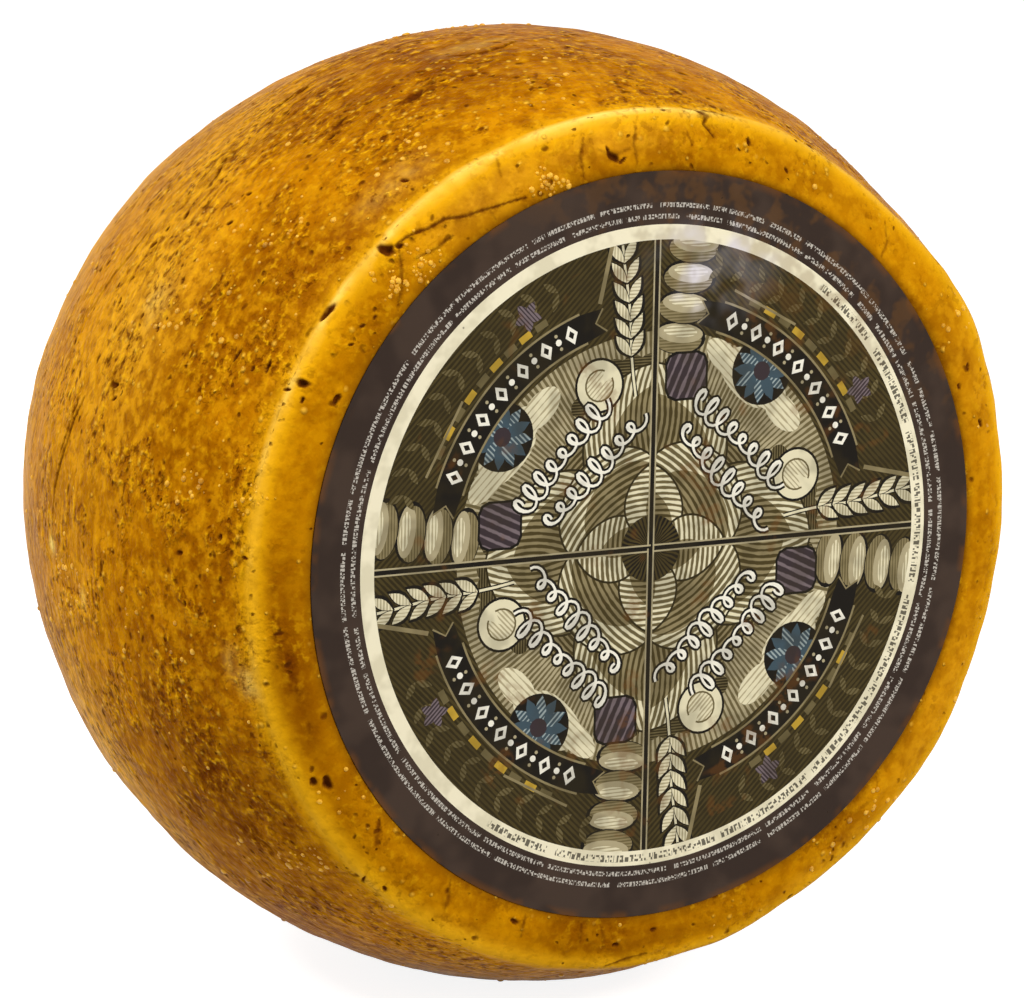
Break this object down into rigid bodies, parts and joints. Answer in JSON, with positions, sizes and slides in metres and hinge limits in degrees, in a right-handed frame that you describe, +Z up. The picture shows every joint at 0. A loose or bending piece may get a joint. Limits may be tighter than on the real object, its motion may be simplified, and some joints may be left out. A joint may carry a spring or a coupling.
{
  "type": "aged cow milk cheese wheel",
  "caption": "Whole wheel of hard aged cheese standing on its side, with a swelling side, an amber coated rind and a round paper label on its front face.",
  "frame": {"origin": "middle of the small flat that the wheel stands on", "axes": "+Z up, +Y along the wheel's axis from the labelled face to the back, +X to the right when the label is looked at"},
  "size_m": [0.2614, 0.1501, 0.2604],
  "materials": {
    "rind": "amber cheese rind under a thin clear coat, mottled and pitted",
    "label_paper": "printed paper under a thin clear coat"
  },
  "bodies": {
    "root": {"cheese_wheel": "rind", "face_label": "label_paper"}
  },
  "joints": []
}
